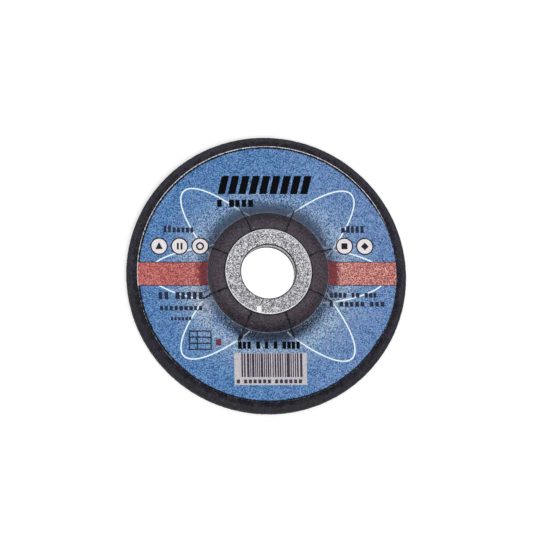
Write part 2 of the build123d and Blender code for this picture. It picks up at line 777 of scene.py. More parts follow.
@dataclass(frozen=True)
class GritFinish:
    """Bonded grit: dark resin with grains in it, smoother and paler on the bevel of the rim."""

    margin: Colour = colour(29, 28, 38)
    bevel: Colour = colour(47, 47, 54)
    edge: Colour = colour(14, 13, 17)
    under_label_shade: Colour = colour(10, 9, 12)
    under: Colour = colour(44, 41, 46)
    violet: Colour = colour(62, 54, 76)
    olive: Colour = colour(58, 66, 50)
    glint: Colour = colour(130, 124, 132)
    fleck: Colour = colour(150, 140, 138)
    bevel_from: Span = (55.3, 55.8)
    bevel_above: Span = (3.9, 4.5)
    label_shadow: Span = (54.6, 53.9)
    label_cover: Span = (53.2, 52.8)
    open_from: Span = (52.8, 53.4)
    open_below: Span = (5.0, 4.6)
    top_above: Span = (50.0, 51.0, 5.1, 3.9)
    rim_from: Span = (53.0, 54.0)
    rim_south: Span = (0.4, -0.6)
    rim_shade: Span = (4.4, 3.6, 0.22, 0.55)

    def material(self, effects: SharedEffects) -> bpy.types.Material:
        """Builds the material.

        Args:
            effects: The shared node groups.

        Returns:
            The grit's material.
        """
        skin = Skin("bonded_grit", effects)
        radius, height = skin.radius, skin.height
        grain, blotch = skin.grain(0.55, 0.4), skin.grain(2.6, 7.2)
        flecks = skin.group(effects.flecks, Spacing=2.2, Share=0.08, Size=0.1, Seed=2.3)
        rough_radius = radius + grain["Tone"] * 0.5
        on_bevel = rough_radius.fade(*self.bevel_from) * height.fade(*self.bevel_above)
        top = on_bevel.pick(self.margin, self.bevel)
        top = rough_radius.fade(*self.label_shadow).pick(top, self.edge)
        # Painted shade: the grit under the label is near-black so that the slits and the torn end look dark.
        top = radius.fade(*self.label_cover).pick(top, self.under_label_shade)
        base = height.under(radius.fade(*self.top_above)).pick(top, self.under)
        base = blotch["Tone"].fade(0.35, 0.75, 0.0, 0.42).pick(base, self.violet)
        base = blotch["Each"].fade(0.7, 0.95, 0.0, 0.3).pick(base, self.olive)
        base = grain["Tone"].fade(0.45, 0.15, 0.0, 0.75).pick(base, self.edge)
        open_air = radius.fade(*self.open_from).most(height.fade(*self.open_below))
        base = (grain["Each"].fade(0.8, 1.0, 0.0, 0.14) * open_air).pick(base, self.glint)
        base = (flecks["Mask"] * 0.35).pick(base, self.fleck)
        low_rim = radius.fade(*self.rim_from) * skin.north.fade(*self.rim_south)
        base = (low_rim * height.fade(*self.rim_shade)).pick(base, self.edge)
        return skin.dress(
            Base_Color=base,
            Normal=skin.relief(grain["Relief"], 0.7, 0.16),
            Roughness=grain["Each"].fade(0.0, 1.0, 0.62, 0.84),
            Specular_IOR_Level=0.14,
        )


@dataclass
class GritBody:
    """The moulded body: one solid of bonded grit, rough where the label leaves it bare."""

    effects: SharedEffects
    hub: HubShape
    finish: GritFinish = GritFinish()
    rim_radius: float = 57.5
    bevel_width: float = 2.2
    bevel_drop: float = 1.8
    bevel_round: float = 1.0
    edge_round: float = 0.8
    bore_radius: float = 11.765
    bore_round: float = 0.25
    ceiling_height: float = 4.6
    recess_radius: float = 21.5
    recess_mouth_radius: float = 25.5
    recess_round: float = 1.5
    mouth_round: float = 2.0
    label_edge: float = 53.4
    columns: int = 840
    coarse_grain: float = 0.9
    fine_grain: float = 0.42
    pit_depth: float = 0.13
    bevel_pit_depth: float = 0.06
    bevel_from: Span = (55.4, 55.9)
    bevel_above: Span = (3.6, 4.4)
    bare_below_from: Span = (23.0, 25.0)
    seed: int = 411

    def profile(self) -> TurnedProfile:
        """Lays out the section of the body.

        Returns:
            The section, up the bore, over the top, down the rim and back below.
        """
        hub = self.hub
        bevel_start = self.rim_radius - self.bevel_width
        bore_top = Corner(self.bore_radius, hub.top_height, self.bore_round, 3.0)
        corners = [
            Corner(self.bore_radius, self.ceiling_height, 0.0, 3.0),
            *hub.corners(bore_top, bevel_start, 0.0, (2.2, 4.0))[:-1],
            Corner(self.label_edge - 0.6, hub.plain_height, 0.0, 0.33),
            Corner(bevel_start, hub.plain_height, self.bevel_round, 0.33),
            Corner(self.rim_radius, hub.plain_height - self.bevel_drop, self.bevel_round, 0.36),
            Corner(self.rim_radius, 0.0, self.edge_round, 0.8),
            Corner(self.recess_mouth_radius, 0.0, self.mouth_round, 0.8),
            Corner(self.recess_radius, self.ceiling_height, self.recess_round, 1.2),
        ]
        return TurnedProfile(corners, closed=True)

    def pitting(self, places: np.ndarray) -> np.ndarray:
        """Says how deep the bare surface is pitted.

        Args:
            places: Smooth places of the surface.

        Returns:
            Depth at each place, and nothing under the label and in the bore.
        """
        noise = LatticeNoise(self.seed)
        radius, height = np.hypot(places[..., 0], places[..., 1]), places[..., 2]
        coarse = noise.at(places, self.coarse_grain)
        fine = noise.at(places + 17.0, self.fine_grain)
        pits = smooth_step(0.35, 0.8, coarse) * 0.6 + fine * 0.4
        bare_top = smooth_step(self.label_edge - 0.3, self.label_edge + 0.2, radius)
        bare_below = smooth_step(self.hub.plain_height - 0.6, self.ceiling_height, height)
        bare = np.maximum(bare_top, smooth_step(*self.bare_below_from, radius) * bare_below)
        on_bevel = smooth_step(*self.bevel_from, radius) * smooth_step(*self.bevel_above, height)
        return bare * pits * (self.pit_depth + (self.bevel_pit_depth - self.pit_depth) * on_bevel)

    def build(self) -> None:
        """Builds the body."""
        places, outward, quads = self.profile().turned(self.columns)
        places -= outward * self.pitting(places)[..., None]
        piece = make_piece("grit_body", places, quads, self.finish.material(self.effects))
        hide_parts("abrasive_body")


@dataclass(frozen=True)
class PaperFinish:
    """The label's printed paper: a blue field, a dark middle, a black edge line and bare paper past it.

    A span of two numbers says where a fade starts and ends, and one of four adds the values it goes between.
    """

    blue_left: Colour = colour(70, 122, 181)
    blue_right: Colour = colour(96, 132, 186)
    pale: Colour = colour(136, 163, 197)
    navy: Colour = colour(42, 54, 78)
    foot: Colour = colour(28, 38, 60)
    middle: Colour = colour(73, 64, 74)
    middle_shade: Colour = colour(10, 5, 20)
    middle_warm: Colour = colour(86, 58, 66)
    middle_line: Colour = colour(122, 132, 146)
    sheen: Colour = colour(182, 168, 166)
    slope_light: Colour = colour(114, 124, 138)
    black: Colour = colour(16, 15, 20)
    line_navy: Colour = colour(20, 30, 46)
    bare: Colour = colour(232, 226, 226)
    middle_radius: float = 24.9
    ring_radius: float = 17.7
    print_radius: float = 53.2
    print_drop: float = 0.1
    border: float = 0.76
    border_thin: float = 0.16
    band_half: float = 5.0
    foot_sheen: Points = ((27, 0.0), (30, 0.7), (31.5, 1.0), (34, 0.9), (37, 0.5), (42, 0.2), (47, 0.0))
    slope_shade: Points = ((24, 0.9), (26.8, 0.88), (28.5, 0.6), (30.3, 0.18), (32.5, 0.0))
    sheen_ring: Points = (
        (24.9, 0.2), (26.4, 0.4), (27.4, 0.65), (29.2, 1), (30.8, 0.7), (33.5, 0.2), (36, 0)
    )
    shoulder_shade: Points = ((18, 0.0), (20, 0.05), (21.5, 0.5), (23.2, 0.95), (25, 1.0))
    side_shade: Points = (
        (-1, 0.92), (-0.8, 0.85), (-0.6, 0.66), (-0.3, 0.3), (0.1, 0.22), (0.6, 0.58), (1, 0.66)
    )
    pale_grain: Points = ((24.7, 0.14), (25.1, 0.85), (27, 1.0), (34, 1.0), (42, 0.85))
    dark_grain: Points = ((24.7, 0.6), (25.1, 0.85), (28, 0.9), (29.5, 1.2), (33.5, 1.2), (38, 0.9))
    pale_mix: Points = ((27, 0.28), (29.5, 0.46), (33.5, 0.46), (38, 0.3))
    hue_spread: Points = ((24.7, 0.3), (25.1, 0.7), (52.2, 0.7), (52.5, 0.0))
    flecks: Points = ((24, 0.004), (26, 0.04), (31, 0.08), (37, 0.03), (52, 0.015))
    scuffed_way: Point = (-0.809, -0.588)
    paler_way: Point = (-0.89, -0.45)
    glare_way: Point = (-0.97, -0.24)
    bare_way: Point = (-0.19, 0.98)
    right_fade: Span = (-8.0, 42.0)
    slope_start: Span = (24.8, 25.1)
    slope_end: Span = (31.0, 28.0)
    foot_start: Span = (26.2, 27.2)
    foot_end: Span = (30.6, 29.0)
    slope_light_north: Span = (0.4, 0.85, 0.0, 0.85)
    calm_south: Span = (-0.75, -0.95, 0.0, 0.7)
    scuffed: Span = (0.945, 0.98, 0.0, 0.5)
    pale_south: Span = (1.0, 0.2, 0.35, 1.0)
    navy_back: Span = (0.6, 1.0, 0.9, 2.6)
    navy_north: Span = (0.1, 0.9, 0.0, 1.45)
    navy_south: Span = (-0.1, -0.9, 0.0, 1.1)
    dark_foot: Span = (29.2, 27.2)
    dark_foot_south: Span = (-0.55, -0.92, 0.0, 0.95)
    left_glare: Span = (0.86, 0.985, 0.0, 0.36)
    side_glare: Span = (0.72, 0.93, 0.0, 0.09)
    thin_east: Span = (0.82, 0.95)
    navy_line: Span = (0.5, 1.1)
    bare_north: Span = (0.16, 0.34)
    bare_breaks: Span = (0.1, 0.35, 0.6, 1.0)
    faint_side: Span = (0.2, -0.2)
    faint_breaks: Span = (0.4, 0.6, 0.0, 0.32)
    west_bareness: float = 0.8

    def material(self, effects: SharedEffects) -> bpy.types.Material:
        """Builds the material.

        Args:
            effects: The shared node groups.

        Returns:
            The paper's material.
        """
        skin = Skin("label_paper", effects)
        radius, north = skin.radius, skin.north
        slit_shading = skin.group(effects.slit_dirt)
        on_middle = radius.fade(self.middle_radius + 0.05, self.middle_radius - 0.05)
        base = on_middle.pick(self._blue_field(skin), self._dark_middle(skin))
        # Painted shadow round the ring's edge and painted shade along the slits.
        ring_shadow = radius.fade(self.ring_radius + 0.75, self.ring_radius + 0.35)
        base = ring_shadow.most(slit_shading["Mask"]).pick(base, self.black)
        base, on_line = self._print_edge(skin, base)
        on_slope = radius.fade(*self.slope_start) * radius.fade(*self.slope_end)
        # Painted light: the painted shade on the north slope is lifted toward a grey-blue.
        slope_light_top = on_slope * north.fade(*self.slope_light_north)
        calm = slope_light_top.most(on_slope * north.fade(*self.calm_south))
        rough = (1.0 - on_line) * (1.0 - calm)
        on_foot = radius.fade(*self.foot_start) * radius.fade(*self.foot_end)
        scuffs = on_foot * skin.toward(self.scuffed_way).fade(*self.scuffed)
        tone = skin.group(
            effects.print_tone,
            Print_Color=(slope_light_top * 0.34).pick(base, self.slope_light),
            Pale_Mix=radius.ramp(self.pale_mix),
            Dark_Grain=radius.ramp(self.dark_grain) * (1.0 - calm * 0.5),
            Pale_Grain=radius.ramp(self.pale_grain) * rough,
            Fleck_Share=(radius.ramp(self.flecks) * rough).most(scuffs),
            Hue_Spread=radius.ramp(self.hue_spread),
        )
        return skin.dress(
            Base_Color=tone["Color"],
            Normal=skin.relief(tone["Relief"], 0.4, 0.07),
            Roughness=slit_shading["Wobble"].fade(0.2, 0.8, 0.55, 0.72),
            Specular_IOR_Level=0.16,
        )

    def _blue_field(self, skin: Skin) -> Field:
        """Builds the blue field with painted light and shade: paler on the right, pale round the hub's foot,
        dark up its slope.

        Args:
            skin: Sheet of the material.

        Returns:
            The field's colour.
        """
        radius, north = skin.radius, skin.north
        # Painted light: the blue is paler towards the right.
        base = skin.x.fade(*self.right_fade).pick(self.blue_left, self.blue_right)
        # Painted sheen: a pale ring round the hub's foot, stronger to the south.
        base = (radius.ramp(self.foot_sheen) * north.fade(*self.pale_south)).pick(base, self.pale)
        # Painted shade up the hub's slope, drawn back to the south-west and reaching further to north and
        # south.
        drawn_back = skin.toward(self.paler_way).fade(*self.navy_back)
        spread = north.fade(*self.navy_north) + north.fade(*self.navy_south)
        base = (radius + drawn_back - spread).ramp(self.slope_shade).pick(base, self.navy)
        # Deeper painted shade on the south side of the foot.
        base = (radius.fade(*self.dark_foot) * north.fade(*self.dark_foot_south)).pick(base, self.foot)
        # Painted glare on the slope at the sides and towards the west.
        left_glare = skin.toward(self.glare_way).fade(*self.left_glare)
        glare = abs(skin.east).fade(*self.side_glare) + left_glare
        base = (glare * radius.ramp(self.sheen_ring)).pick(base, self.sheen)
        by_middle = radius.fade(self.middle_radius + 0.3, self.middle_radius + 0.2, 0.0, 0.7)
        return by_middle.pick(base, self.middle_line)

    def _dark_middle(self, skin: Skin) -> Field:
        """Builds the dark middle of the label, with painted shade over the hub's shoulder.

        Args:
            skin: Sheet of the material.

        Returns:
            The middle's colour.
        """
        shade = skin.radius.ramp(self.shoulder_shade) * skin.north.ramp(self.side_shade)
        warmth = skin.grain(3.4, 8.8)["Tone"].fade(0.35, 0.8, 0.0, 0.3)
        return warmth.pick(shade.pick(self.middle, self.middle_shade), self.middle_warm)

    def _print_edge(self, skin: Skin, inner: Field) -> tuple[Field, Field]:
        """Builds the black line that ends the print and the bare paper past it.

        Args:
            skin: Sheet of the material.
            inner: The print's colour inside the line.

        Returns:
            The colour with the line and the bare paper, and the mask of the line.
        """
        lowered = skin.y + self.print_drop
        fray = skin.grain(0.7, 2.2)["Tone"] - 0.5
        reach = (skin.x * skin.x + lowered * lowered).math("SQRT") + fray * 0.36
        border = skin.east.fade(*self.thin_east, self.border, self.border_thin)
        lined = (reach + border).fade(self.print_radius - 0.06, self.print_radius + 0.06)
        past_print = reach.fade(self.print_radius - 0.05, self.print_radius + 0.05)
        west_end = abs(skin.y).under(self.band_half) * skin.x.under(0.0)
        south_east = skin.east - skin.north
        line_tint = south_east.fade(*self.navy_line).pick(self.black, self.line_navy)
        edged = lined.pick(inner, west_end.pick(line_tint, self.bare))
        breaks = skin.grain(1.1, 2.9)["Tone"]
        solid = skin.toward(self.bare_way).fade(*self.bare_north) * breaks.fade(*self.bare_breaks)
        faint = south_east.fade(*self.faint_side) * breaks.fade(*self.faint_breaks)
        kept = solid.most(faint).most(west_end * self.west_bareness)
        return (past_print * kept).pick(edged, self.bare), lined * (1.0 - past_print)


@dataclass
class PaperLabel:
    """The paper label glued on the top, slit round the hub so that it follows the slope."""

    effects: SharedEffects
    hub: HubShape
    slits: SlitPlan
    finish: PaperFinish = PaperFinish()
    thickness: float = 0.2
    hole_radius: float = 12.215
    outer_radius: float = 53.4
    columns: int = 56
    fold_height: float = 0.035
    swell_height: float = 0.03
    swell_grain: float = 7.0
    clear_of_ring: Span = (18.0, 20.0)
    fold_start: Span = (19.0, 22.5)
    fold_end: Span = (30.5, 26.0)
    slit_wander: Point = (0.35, 1.1)
    slit_grain: float = 0.9
    tear_wander: Point = (0.75, 0.4)
    tear_grain: float = 0.7
    seed: int = 92

    def __post_init__(self) -> None:
        """Samples the printed side once, for the sheet and for all that is printed on it."""
        inner = Corner(self.hole_radius, self.hub.top_height + self.thickness, 0.0, 0.9)
        corners = self.hub.corners(inner, self.outer_radius, self.thickness, (0.45, 0.62))
        self.profile = TurnedProfile(corners, closed=False)
        self.noise = LatticeNoise(self.seed)

    def swell(self, x: np.ndarray, y: np.ndarray) -> np.ndarray:
        """Says how far the paper stands off its plain shape.

        Args:
            x: Places along X.
            y: Places along Y.

        Returns:
            The height added at each place, which fades out under the ring.
        """
        radius, turn = np.hypot(x, y), np.arctan2(y, x)
        flat = np.stack((x, y, np.zeros_like(x)), axis=-1)
        soft = (self.noise.at(flat + 90.0, self.swell_grain) - 0.5) * 2 * self.swell_height
        phase = (turn - self.slits.turn(0)) * self.slits.count
        fold = np.cos(phase) * 0.6 + np.cos(3 * phase + 1.0) * 0.4
        on_slope = smooth_step(*self.fold_start, radius) * smooth_step(*self.fold_end, radius)
        return soft * smooth_step(*self.clear_of_ring, radius) - (1 + fold) * self.fold_height * on_slope

    def surface(self, x: np.ndarray, y: np.ndarray) -> np.ndarray:
        """Gives the height of the printed side at places along X and Y."""
        return np.interp(np.hypot(x, y), *self.profile.points.T) + self.swell(x, y)

    def _half_width(self, slit: int, side: int) -> np.ndarray:
        """Says how far one edge of a slit stands from its middle line.

        Args:
            slit: Which slit.
            side: 0 or 1 for its two edges.

        Returns:
            The distance at each row, and nothing past the slit's end.
        """
        radius, slits = self.profile.points[:, 0], self.slits
        end = slits.reach(slit)
        row = np.stack((radius, np.full_like(radius, 40.0 * slit), np.full_like(radius, 9.0 * side)), axis=-1)
        least, more = self.slit_wander
        width = slits.half_width * (least + more * self.noise.at(row, self.slit_grain))
        if slits.is_torn(slit):
            tear = smooth_step(slits.tear_start, slits.tear_start + 0.9, radius)
            least, more = self.tear_wander
            ragged = least + more * self.noise.at(row, self.tear_grain)
            width = np.maximum(width, slits.tear_half_width * tear * ragged)
        return width * smooth_step(end, end - 0.7, radius) + np.where(radius < end, 0.02, 0.0)

    def _sheet(self) -> tuple[np.ndarray, np.ndarray]:
        """Lays out the rows and columns of the slit sheet.

        Returns:
            Turn of each grid point by sector, and the number of the grid point that it shares.
        """
        radius, slits = self.profile.points[:, 0], self.slits
        turn = np.zeros((slits.count, len(radius), self.columns + 1))
        share = np.arange(turn.size).reshape(turn.shape)
        across = np.linspace(0, 1, self.columns + 1)
        for sector in range(slits.count):
            left = self._half_width(sector, 1) / radius
            right = self._half_width(sector + 1, 0) / radius
            turn[sector] = slits.turn(sector) + left[:, None] + across * (slits.step - left - right)[:, None]
            joined = radius >= slits.reach(sector + 1)
            share[sector, joined, -1] = share[(sector + 1) % slits.count, joined, 0]
        return turn, share

    def build(self) -> None:
        """Builds the label: its two sides, its edges and the walls of its slits."""
        turn, share = self._sheet()
        points, outward = self.profile.points, self.profile.outward
        upper = spun(points[:, None], turn)
        lower = spun((points - outward * self.thickness)[:, None], turn)
        upper[..., 2] += self.swell(upper[..., 0], upper[..., 1])
        parts = []
        for sector, top in enumerate(share):
            left, right = (1 + np.sum(points[:, 0] < self.slits.reach(slit)) for slit in (sector, sector + 1))
            edges = (top[0], top[-1][::-1], top[:left, 0][::-1], top[:right, -1])
            parts.append(slab_quads(top, share.size, edges))
        used, quads = np.unique(np.concatenate(parts), return_inverse=True)
        places = np.concatenate((upper.reshape(-1, 3), lower.reshape(-1, 3)))[used]
        material = self.finish.material(self.effects)
        piece = make_piece("paper_label", places, quads.reshape(-1, 4), material)
        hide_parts("label")


@dataclass
class InkLayer:
    """Closed slabs of ink that lie on the label, stand off it by a lift and make up one piece."""

    label: PaperLabel
    lift: float
    spacing: float = 0.7
    sunk: float = 0.04
    disc_steps: int = 7
    hoop_steps: int = 24
    hoop_steps_each_mm: float = 9.0
    places: list[np.ndarray] = field(default_factory=list)
    quads: list[np.ndarray] = field(default_factory=list)

    def shares(self, length: float) -> np.ndarray:
        """Divides a length into steps no longer than the spacing, from 0 to 1."""
        return np.linspace(0, 1, max(2, math.ceil(length / self.spacing) + 1))

    def slab(self, plan: np.ndarray, wrap: bool = False) -> None:
        """Adds one slab.

        Args:
            plan: Places in the plane, rows and columns, with the columns on the left of the rows' way.
            wrap: Whether the last column joins the first.
        """
        x, y = np.moveaxis(plan, -1, 0)
        top = grid_index(*x.shape) + sum(map(len, self.places))
        sides = [] if wrap else [top[::-1, 0], top[:, -1]]
        if wrap:
            top = np.pad(top, ((0, 0), (0, 1)), mode="wrap")
        self.quads.append(slab_quads(top, x.size, [top[0], top[-1][::-1], *sides]))
        height = self.label.surface(x, y)
        for level in (self.lift, -self.sunk):
            self.places.append(np.stack((x, y, height + level), axis=-1).reshape(-1, 3))

    def quad(self, *corners: Point) -> None:
        """Adds a slab with four straight sides.

        Args:
            *corners: Its corners, counter-clockwise.
        """
        first, second, third, fourth = np.array(corners, dtype=float)
        length = max(np.linalg.norm(second - first), np.linalg.norm(third - fourth))
        breadth = max(np.linalg.norm(fourth - first), np.linalg.norm(third - second))
        along, across = self.shares(length)[:, None, None], self.shares(breadth)[:, None]
        near, far = first + (second - first) * along, fourth + (third - fourth) * along
        self.slab(near + (far - near) * across)

    def block(self, left: float, low: float, right: float, high: float, slant: float = 0.0) -> None:
        """Adds an upright block, or one whose top is moved to the right by a slant."""
        self.quad((left, low), (right, low), (right + slant, high), (left + slant, high))

    def disc(self, centre: Point, radius: float) -> None:
        """Adds a round slab.

        Args:
            centre: Its centre.
            radius: Its radius.
        """
        steps = np.linspace(-1, 1, max(self.disc_steps, math.ceil(2 * radius / self.spacing) + 1))
        u, v = np.meshgrid(steps, steps, indexing="ij")
        round_plan = np.stack((u * np.sqrt(1 - v * v / 2), v * np.sqrt(1 - u * u / 2)), axis=-1)
        self.slab(centre + radius * round_plan)

    def hoop(self, centre: Point, radius: float, width: float) -> None:
        """Adds a circular line.

        Args:
            centre: Its centre.
            radius: Its outer radius.
            width: Its width.
        """
        steps = max(self.hoop_steps, math.ceil(self.hoop_steps_each_mm * radius))
        turns = np.linspace(0, 2 * math.pi, steps, endpoint=False)
        way = pairs(np.exp(1j * turns))
        rows = [centre + way * reach for reach in (radius - width, radius - width / 2, radius)]
        self.slab(np.stack(rows), wrap=True)

    def ribbon(self, line: np.ndarray, width: float) -> None:
        """Adds a line of even width along the points of its middle."""
        sides = [line + left_of(line) * reach for reach in (-width / 2, 0, width / 2)]
        self.slab(np.stack(sides, axis=1))

    def build(self, name: str, finish: InkFinish) -> None:
        """Makes the piece from all slabs, with a name and an ink."""
        material = finish.material(self.label.effects)
        make_piece(name, np.concatenate(self.places), np.concatenate(self.quads), material)


@dataclass
class OrbitLines:
    """Three white ellipses about the bore, covered by the dark middle of the label."""

    label: PaperLabel
    finish: InkFinish = InkFinish(
        "orbit_ink",
        colour(234, 248, 254),
        dark_grain=0.12,
        pale_grain=0.1,
        slit_shaded=True,
        shade_tint=colour(88, 100, 124),
        shade_radius=32.8,
        shade_depth=0.8,
    )
    lift: float = 0.02
    centre: Point = (0.2, -0.4)
    long_half: float = 48.6
    short_half: float = 13.05
    tilts: Span = (-1.1, 43.9, -45.8)
    width: float = 0.56
    start_radius: float = 25.2
    points_each_mm: float = 1.2

    def build(self) -> None:
        """Builds the lines."""
        layer = InkLayer(self.label, self.lift)
        least = (self.start_radius**2 - self.short_half**2) / (self.long_half**2 - self.short_half**2)
        reach = math.acos(math.sqrt(least))
        part = np.linspace(-reach, reach, math.ceil(self.points_each_mm * 2 * reach * self.long_half))
        half_ellipse = self.long_half * np.cos(part) + 1j * self.short_half * np.sin(part)
        for tilt in self.tilts:
            for turn in (tilt, tilt + 180.0):
                line = pairs(half_ellipse * np.exp(1j * math.radians(turn)))
                layer.ribbon(line + self.centre, self.width)
        layer.build("orbit_lines", self.finish)


@dataclass
class RedBand:
    """The red band across the label, in two parts beside the hub."""

    label: PaperLabel
    finish: InkFinish = InkFinish(
        "band_ink",
        colour(187, 87, 84),
        east_tint=colour(190, 103, 97),
        dark_grain=0.85,
        pale_grain=1.0,
        fleck_share=0.06,
        hub_flecks=0.85,
        east_pale_mix=0.6,
        pale_tint=colour(255, 214, 204),
        hue_spread=0.25,
        shade_tint=colour(124, 53, 60),
        shade_radius=30.2,
        shade_width=2.2,
        shade_skew=1.2,
        shade_depth=0.96,
    )
    line_finish: InkFinish = InkFinish("band_line_ink", colour(54, 38, 56), dark_grain=0.4, pale_grain=0.2)
    lift: float = 0.035
    line_lift: float = 0.045
    line_width: float = 0.3
    columns: int = 44

    def _strip(self, layer: InkLayer, low: float, high: float) -> None:
        """Adds both parts of a strip of the band.

        Args:
            layer: The layer that takes it.
            low: Its lower edge.
            high: Its upper edge.
        """
        paper = self.label.finish
        y = low + (high - low) * layer.shares(high - low)
        inner = np.sqrt((paper.middle_radius + 0.12) ** 2 - y * y)
        outer = np.sqrt((paper.print_radius - 0.1) ** 2 - (y + paper.print_drop) ** 2)
        x = inner + (outer - inner) * np.linspace(0, 1, self.columns)[:, None]
        plan = np.stack((x, np.broadcast_to(y, x.shape)), axis=-1)
        layer.slab(plan)
        layer.slab(plan[::-1] * (-1, 1))

    def build(self) -> None:
        """Builds the band and the dark lines along it."""
        half = self.label.finish.band_half
        band, lines = InkLayer(self.label, self.lift), InkLayer(self.label, self.line_lift)
        self._strip(band, -half, half)
        for low in (-half, half - self.line_width):
            self._strip(lines, low, low + self.line_width)
        band.build("red_band", self.finish)
        lines.build("red_band_lines", self.line_finish)


@dataclass
class RoundMarks:
    """Five round white fields with dark rims, each with a plain shape in it."""

    label: PaperLabel
    field_ink: InkFinish = InkFinish("mark_field_ink", colour(236, 229, 230), dark_grain=0.3, pale_grain=0.2)
    dark_ink: InkFinish = InkFinish("mark_dark_ink", colour(20, 18, 27), dark_grain=0.3, pale_grain=0.12)
    centres: Points = ((-44.2, 11.5), (-35.8, 11.5), (-27.4, 11.5), (32.0, 11.5), (40.4, 11.4))
    lift: float = 0.045
    dark_lift: float = 0.06
    dark_spacing: float = 0.5
    radius: float = 3.6
    rim_width: float = 0.5
    field_inset: float = 0.1
    triangle_half: float = 1.5
    triangle_drop: float = 1.2
    triangle_tip: float = 0.15
    bar_lefts: Span = (-1.1, 0.4)
    bar_width: float = 0.8
    bar_half: float = 1.4
    ring_radius: float = 1.7
    ring_width: float = 0.7
    square_half: float = 1.25
    diamond_half: float = 1.6

    def build(self) -> None:
        """Builds the fields, their rims and the shapes in them."""
        fields = InkLayer(self.label, self.lift)
        dark = InkLayer(self.label, self.dark_lift, self.dark_spacing)
        for centre in self.centres:
            fields.disc(centre, self.radius - self.field_inset)
            dark.hoop(centre, self.radius, self.rim_width)
        (x, y), bars, ring, square, diamond = self.centres
        foot, wide, tip = y - self.triangle_drop, self.triangle_half, self.triangle_tip
        dark.quad((x - wide, foot), (x + wide, foot), (x + tip, y + wide), (x - tip, y + wide))
        x, y = bars
        for left in self.bar_lefts:
            dark.block(x + left, y - self.bar_half, x + left + self.bar_width, y + self.bar_half)
        dark.hoop(ring, self.ring_radius, self.ring_width)
        (x, y), half = square, self.square_half
        dark.block(x - half, y - half, x + half, y + half)
        (x, y), half = diamond, self.diamond_half
        dark.quad((x - half, y), (x, y - half), (x + half, y), (x, y + half))
        fields.build("mark_fields", self.field_ink)
        dark.build("mark_rims", self.dark_ink)


@dataclass(frozen=True)
class BlockRow:
    """A row of plain blocks in place of a line of print."""

    left: float
    low: float
    right: float
    high: float
    words: tuple[int, ...]
    bold: bool = False
    uneven: bool = False


@dataclass
class PrintBlocks:
    """Rows of plain blocks and a heavy slanted row, where the label carries print."""

    label: PaperLabel
    finish: InkFinish = InkFinish("print_ink", colour(26, 32, 58), dark_grain=0.35, pale_grain=0.14)
    heavy_finish: InkFinish = InkFinish(
        "heavy_ink", colour(4, 5, 10), dark_grain=0.2, pale_grain=0.0, fleck_share=0.02, gloss=0.06
    )
    red_finish: InkFinish = InkFinish("dark_red_ink", colour(112, 30, 52))
    lift: float = 0.05
    red_box: Span = (-21.6, -29.8, -19.4, -27.2)
    table_box: Span = (-32.4, -31.4, -23.6, -23.8)
    table_rows: int = 3
    table_split: float = 0.36
    table_line: float = 0.5
    rows: tuple[BlockRow, ...] = (
        BlockRow(-20.0, 27.9, -4.7, 30.9, (1, 4), bold=True),
        BlockRow(-42.2, 17.2, -29.4, 20.1, (7,), uneven=True),
        BlockRow(30.9, 17.1, 40.7, 19.9, (5,), uneven=True),
        BlockRow(-44.7, -10.6, -25.9, -7.6, (2, 5)),
        BlockRow(-44.3, -15.2, -26.3, -13.4, (9,)),
        BlockRow(-39.9, -19.3, -31.0, -18.0, (6,)),
        BlockRow(25.4, -10.0, 45.4, -8.0, (4, 2, 3)),
        BlockRow(25.4, -13.7, 48.5, -11.7, (1, 5, 3)),
        BlockRow(-12.6, -31.2, 13.3, -28.2, (3, 1, 1, 1, 4), bold=True),
    )
    gap_share: float = 0.85
    block_share: float = 0.7
    bold_share: float = 0.76
    width_range: Point = (0.85, 1.08)
    drop_share: float = 0.28
    heavy_count: int = 9
    heavy_left: float = -19.8
    heavy_pitch: float = 4.25
    heavy_width: float = 3.0
    heavy_low: float = 33.3
    heavy_high: float = 40.9
    heavy_slant: float = 1.9
    seed: int = 58

    def _row(self, layer: InkLayer, row: BlockRow, draw: np.random.Generator) -> None:
        """Adds one row.

        Args:
            layer: The layer that takes it.
            row: Where it is and how its blocks are grouped.
            draw: Source of the blocks' widths.
        """
        pitch = (row.right - row.left) / (sum(row.words) + self.gap_share * (len(row.words) - 1))
        share = self.bold_share if row.bold else self.block_share
        step = self.drop_share * (row.high - row.low)
        at = row.left
        for word in row.words:
            for _ in range(word):
                width = pitch * share * draw.uniform(*self.width_range)
                drop = step * float(draw.choice((0, 1))) if row.uneven else 0.0
                layer.block(at, row.low, at + width, row.high - drop)
                at += pitch
            at += pitch * self.gap_share

    def _table(self, layer: InkLayer) -> None:
        """Adds the outline of a small plain table beside the lower rows.

        Args:
            layer: The layer that takes it.
        """
        left, low, right, high = self.table_box
        half = self.table_line / 2
        for level in np.linspace(low, high, self.table_rows + 1):
            layer.block(left - half, level - half, right + half, level + half)
        for wall in (left, left + self.table_split * (right - left), right):
            layer.block(wall - half, low + half, wall + half, high - half)

    def build(self) -> None:
        """Builds the rows, the table, the heavy row and the red block."""
        draw = np.random.default_rng(self.seed)
        fine, heavy, red = (InkLayer(self.label, self.lift) for _ in range(3))
        for row in self.rows:
            self._row(heavy if row.bold else fine, row, draw)
        self._table(fine)
        for step in range(self.heavy_count):
            left = self.heavy_left + step * self.heavy_pitch
            heavy.block(left, self.heavy_low, left + self.heavy_width, self.heavy_high, self.heavy_slant)
        red.block(*self.red_box)
        fine.build("print_blocks", self.finish)
        heavy.build("heavy_blocks", self.heavy_finish)
        red.build("red_block", self.red_finish)


